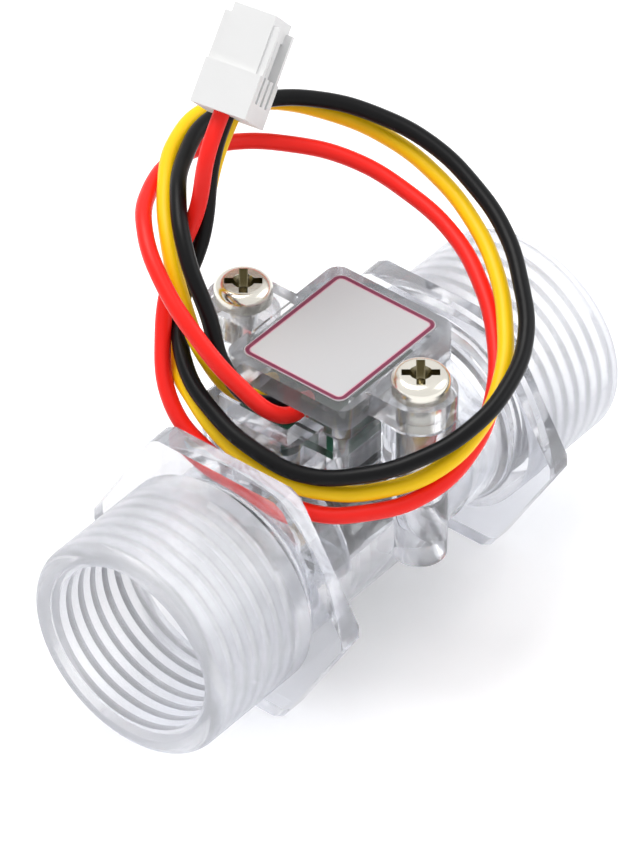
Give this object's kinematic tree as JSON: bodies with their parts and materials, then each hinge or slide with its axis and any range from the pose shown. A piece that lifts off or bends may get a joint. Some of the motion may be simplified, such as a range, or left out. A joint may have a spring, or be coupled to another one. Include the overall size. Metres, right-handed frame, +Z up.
{
  "type": "water flow sensor",
  "caption": "Clear straight-through turbine flow sensor with female pipe threads, wrench hexagons, a covered pulse-sensor pocket and a wire lead that ends in a plug.",
  "frame": {"origin": "on the surface that the hexagons stand on, under the middle of the tube", "axes": "+X along the tube from the inlet mouth to the outlet mouth, +Z up through the label, -Y towards the front cover screw"},
  "size_m": [0.064, 0.0414, 0.0625],
  "materials": {
    "clear_plastic": "clear moulded, polished",
    "label_film": "satin printed film with a thin dark red border",
    "board_green": "solder mask",
    "chip_black": "moulded epoxy",
    "chip_tan": "sintered",
    "solder": "bright solder",
    "plated_steel": "bright nickel plated",
    "guide_plastic": "milky clear moulded",
    "stainless": "ground",
    "bush_brass": "turned",
    "rotor_plastic": "dark moulded",
    "magnet": "sintered and plated",
    "wire_red": "satin insulation",
    "wire_yellow": "satin insulation",
    "wire_black": "satin insulation",
    "plug_nylon": "natural nylon",
    "tinned": "tinned"
  },
  "bodies": {
    "housing": {"body": "clear_plastic", "cover": "clear_plastic", "label": "label_film", "circuit_board": "board_green", "hall_sensor": "chip_black", "resistor": "chip_black", "capacitor": "chip_tan", "solder_joints": "solder", "screw_front": "plated_steel", "screw_rear": "plated_steel", "inlet_guide": "guide_plastic", "outlet_guide": "guide_plastic", "retaining_ring": "stainless", "inlet_bush": "bush_brass", "outlet_bush": "bush_brass", "wire_red": "wire_red", "wire_yellow": "wire_yellow", "wire_black": "wire_black", "plug_housing": "plug_nylon", "terminal_red": "tinned", "terminal_yellow": "tinned", "terminal_black": "tinned"},
    "turbine": {"turbine_rotor": "rotor_plastic", "rotor_shaft": "stainless", "magnets": "magnet"}
  },
  "joints": [
    {"name": "rotor_spin", "type": "hinge", "parent": "housing", "child": "turbine", "pos_m": [0, 0, 0.014], "axis": [1, 0, 0], "continuous": true}
  ]
}
